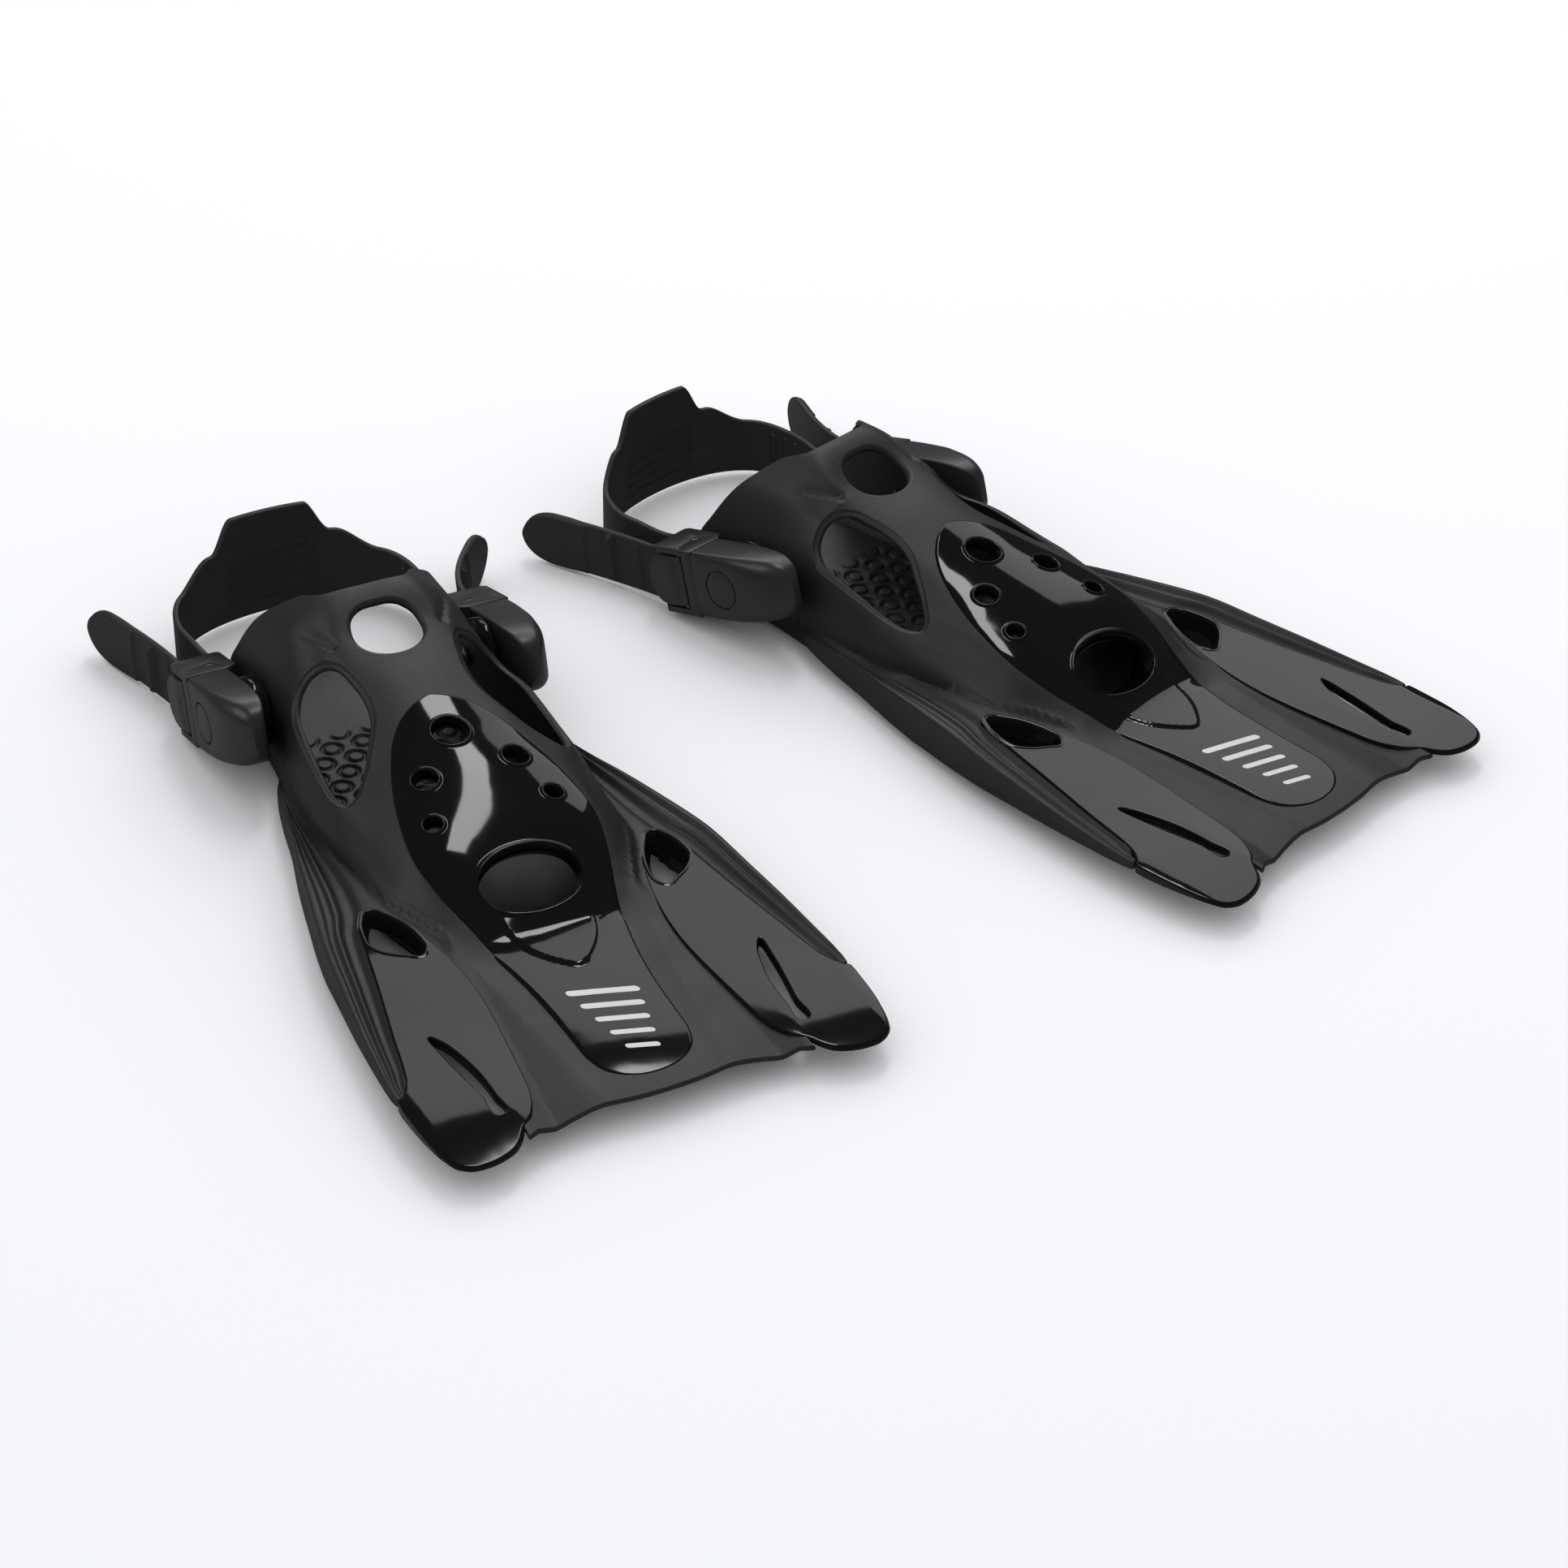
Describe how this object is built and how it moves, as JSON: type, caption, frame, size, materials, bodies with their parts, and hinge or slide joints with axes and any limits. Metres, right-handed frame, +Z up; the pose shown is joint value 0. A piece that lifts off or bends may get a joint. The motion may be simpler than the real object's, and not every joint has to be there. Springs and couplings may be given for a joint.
{
  "type": "pair of open-heel swim fins",
  "caption": "Short travel swim fins with open-heel rubber pockets, vented glossy blades, swivel quick-release buckles and an adjustable heel strap.",
  "frame": {"origin": "middle of the pair's bounding box, on the floor plane that the soles stand on", "axes": "+Z up, toes towards -Y, the left fin on +X, each fin turned out 9.38 degrees"},
  "size_m": [0.5704, 0.5059, 0.086],
  "materials": {
    "pocket_rubber": "matte fine grain",
    "gloss_panel": "mirror gloss",
    "buckle_plastic": "satin",
    "strap_rubber": "matte",
    "steel": "satin"
  },
  "bodies": {
    "right_fin": {"right_foot_pocket": "pocket_rubber", "right_footbed": "pocket_rubber", "right_blade_frame": "pocket_rubber", "right_centre_panel": "gloss_panel", "right_outer_side_panel": "gloss_panel", "right_outer_swivel_stud": "buckle_plastic", "right_outer_stud_clip": "steel", "right_inner_side_panel": "gloss_panel", "right_inner_swivel_stud": "buckle_plastic", "right_inner_stud_clip": "steel"},
    "right_outer_buckle": {"right_outer_buckle_housing": "buckle_plastic", "right_outer_pivot_cap": "buckle_plastic", "right_outer_buckle_frame": "buckle_plastic", "right_outer_lever_pin": "steel", "right_outer_lever_spring": "steel"},
    "right_outer_roller": {"right_outer_strap_roller": "steel"},
    "right_outer_lever": {"right_outer_release_lever": "buckle_plastic"},
    "right_outer_tail": {"right_outer_strap_tail": "strap_rubber"},
    "right_inner_buckle": {"right_inner_buckle_housing": "buckle_plastic", "right_inner_pivot_cap": "buckle_plastic", "right_inner_buckle_frame": "buckle_plastic", "right_inner_lever_pin": "steel", "right_inner_lever_spring": "steel"},
    "right_inner_roller": {"right_inner_strap_roller": "steel"},
    "right_inner_lever": {"right_inner_release_lever": "buckle_plastic"},
    "right_inner_tail": {"right_inner_strap_tail": "strap_rubber"},
    "right_heel_loop": {"right_heel_strap": "strap_rubber"},
    "left_fin": {"left_foot_pocket": "pocket_rubber", "left_footbed": "pocket_rubber", "left_blade_frame": "pocket_rubber", "left_centre_panel": "gloss_panel", "left_outer_side_panel": "gloss_panel", "left_outer_swivel_stud": "buckle_plastic", "left_outer_stud_clip": "steel", "left_inner_side_panel": "gloss_panel", "left_inner_swivel_stud": "buckle_plastic", "left_inner_stud_clip": "steel"},
    "left_outer_buckle": {"left_outer_buckle_housing": "buckle_plastic", "left_outer_pivot_cap": "buckle_plastic", "left_outer_buckle_frame": "buckle_plastic", "left_outer_lever_pin": "steel", "left_outer_lever_spring": "steel"},
    "left_outer_roller": {"left_outer_strap_roller": "steel"},
    "left_outer_lever": {"left_outer_release_lever": "buckle_plastic"},
    "left_outer_tail": {"left_outer_strap_tail": "strap_rubber"},
    "left_inner_buckle": {"left_inner_buckle_housing": "buckle_plastic", "left_inner_pivot_cap": "buckle_plastic", "left_inner_buckle_frame": "buckle_plastic", "left_inner_lever_pin": "steel", "left_inner_lever_spring": "steel"},
    "left_inner_roller": {"left_inner_strap_roller": "steel"},
    "left_inner_lever": {"left_inner_release_lever": "buckle_plastic"},
    "left_inner_tail": {"left_inner_strap_tail": "strap_rubber"},
    "left_heel_loop": {"left_heel_strap": "strap_rubber"}
  },
  "joints": [
    {"name": "pair_lift", "type": "slide", "parent": "right_fin", "child": "left_fin", "axis": [0, 0, 1], "range_m": [0, 0.12]},
    {"name": "right_outer_swivel", "type": "hinge", "parent": "right_fin", "child": "right_outer_buckle", "pos_m": [-0.20142, 0.11888, 0.032], "axis": [0.9866, -0.163, 0], "range_deg": [0, 95]},
    {"name": "right_outer_lever_release", "type": "hinge", "parent": "right_outer_buckle", "child": "right_outer_lever", "pos_m": [-0.20643, 0.14809, 0.02449], "axis": [0.0422, 0.2554, 0.9659], "range_deg": [0, 30], "stiffness_Nm_per_rad": 0.06},
    {"name": "right_inner_swivel", "type": "hinge", "parent": "right_fin", "child": "right_inner_buckle", "pos_m": [-0.0633, 0.09606, 0.032], "axis": [0.9866, -0.163, 0], "range_deg": [0, 95]},
    {"name": "right_inner_lever_release", "type": "hinge", "parent": "right_inner_buckle", "child": "right_inner_lever", "pos_m": [-0.04916, 0.12212, 0.02449], "axis": [-0.0422, -0.2554, -0.9659], "range_deg": [0, 30], "stiffness_Nm_per_rad": 0.06},
    {"name": "right_strap_adjust", "type": "slide", "parent": "right_outer_buckle", "child": "right_heel_loop", "axis": [-0.1574, -0.953, 0.2588], "range_m": [-0.008, 0.009]},
    {"name": "right_outer_roller_turn", "type": "hinge", "parent": "right_outer_buckle", "child": "right_outer_roller", "pos_m": [-0.19325, 0.1469, 0.02423], "axis": [-0.0422, -0.2554, -0.9659], "range_deg": [-81, 91]},
    {"name": "right_inner_roller_turn", "type": "hinge", "parent": "right_inner_buckle", "child": "right_inner_roller", "pos_m": [-0.06203, 0.12522, 0.02423], "axis": [0.0422, 0.2554, 0.9659], "range_deg": [-81, 91]},
    {"name": "right_outer_tail_feed", "type": "slide", "parent": "right_outer_buckle", "child": "right_outer_tail", "axis": [-0.1574, -0.953, 0.2588], "range_m": [-0.009, 0.008]},
    {"name": "right_inner_tail_feed", "type": "slide", "parent": "right_inner_buckle", "child": "right_inner_tail", "axis": [-0.1574, -0.953, 0.2588], "range_m": [-0.009, 0.008]},
    {"name": "left_outer_swivel", "type": "hinge", "parent": "left_fin", "child": "left_outer_buckle", "pos_m": [0.20142, 0.10188, 0.032], "axis": [0.9866, 0.163, 0], "range_deg": [0, 95]},
    {"name": "left_outer_lever_release", "type": "hinge", "parent": "left_outer_buckle", "child": "left_outer_lever", "pos_m": [0.20643, 0.13109, 0.02449], "axis": [0.0422, -0.2554, -0.9659], "range_deg": [0, 30], "stiffness_Nm_per_rad": 0.06},
    {"name": "left_inner_swivel", "type": "hinge", "parent": "left_fin", "child": "left_inner_buckle", "pos_m": [0.0633, 0.07906, 0.032], "axis": [0.9866, 0.163, 0], "range_deg": [0, 95]},
    {"name": "left_inner_lever_release", "type": "hinge", "parent": "left_inner_buckle", "child": "left_inner_lever", "pos_m": [0.04916, 0.10512, 0.02449], "axis": [-0.0422, 0.2554, 0.9659], "range_deg": [0, 30], "stiffness_Nm_per_rad": 0.06},
    {"name": "left_strap_adjust", "type": "slide", "parent": "left_outer_buckle", "child": "left_heel_loop", "axis": [0.1574, -0.953, 0.2588], "range_m": [-0.008, 0.009]},
    {"name": "left_outer_roller_turn", "type": "hinge", "parent": "left_outer_buckle", "child": "left_outer_roller", "pos_m": [0.19325, 0.1299, 0.02423], "axis": [-0.0422, 0.2554, 0.9659], "range_deg": [-81, 91]},
    {"name": "left_inner_roller_turn", "type": "hinge", "parent": "left_inner_buckle", "child": "left_inner_roller", "pos_m": [0.06203, 0.10822, 0.02423], "axis": [0.0422, -0.2554, -0.9659], "range_deg": [-81, 91]},
    {"name": "left_outer_tail_feed", "type": "slide", "parent": "left_outer_buckle", "child": "left_outer_tail", "axis": [0.1574, -0.953, 0.2588], "range_m": [-0.009, 0.008]},
    {"name": "left_inner_tail_feed", "type": "slide", "parent": "left_inner_buckle", "child": "left_inner_tail", "axis": [0.1574, -0.953, 0.2588], "range_m": [-0.009, 0.008]}
  ],
  "couplings": [
    {"joint": "right_outer_roller_turn", "follows": "right_strap_adjust", "rad_per_m": 175.44},
    {"joint": "right_inner_roller_turn", "follows": "right_strap_adjust", "rad_per_m": 175.44},
    {"joint": "right_outer_tail_feed", "follows": "right_strap_adjust", "ratio": -1},
    {"joint": "right_inner_tail_feed", "follows": "right_strap_adjust", "ratio": -1},
    {"joint": "right_inner_swivel", "follows": "right_outer_swivel", "ratio": 1},
    {"joint": "left_outer_roller_turn", "follows": "left_strap_adjust", "rad_per_m": 175.44},
    {"joint": "left_inner_roller_turn", "follows": "left_strap_adjust", "rad_per_m": 175.44},
    {"joint": "left_outer_tail_feed", "follows": "left_strap_adjust", "ratio": -1},
    {"joint": "left_inner_tail_feed", "follows": "left_strap_adjust", "ratio": -1},
    {"joint": "left_inner_swivel", "follows": "left_outer_swivel", "ratio": 1}
  ]
}
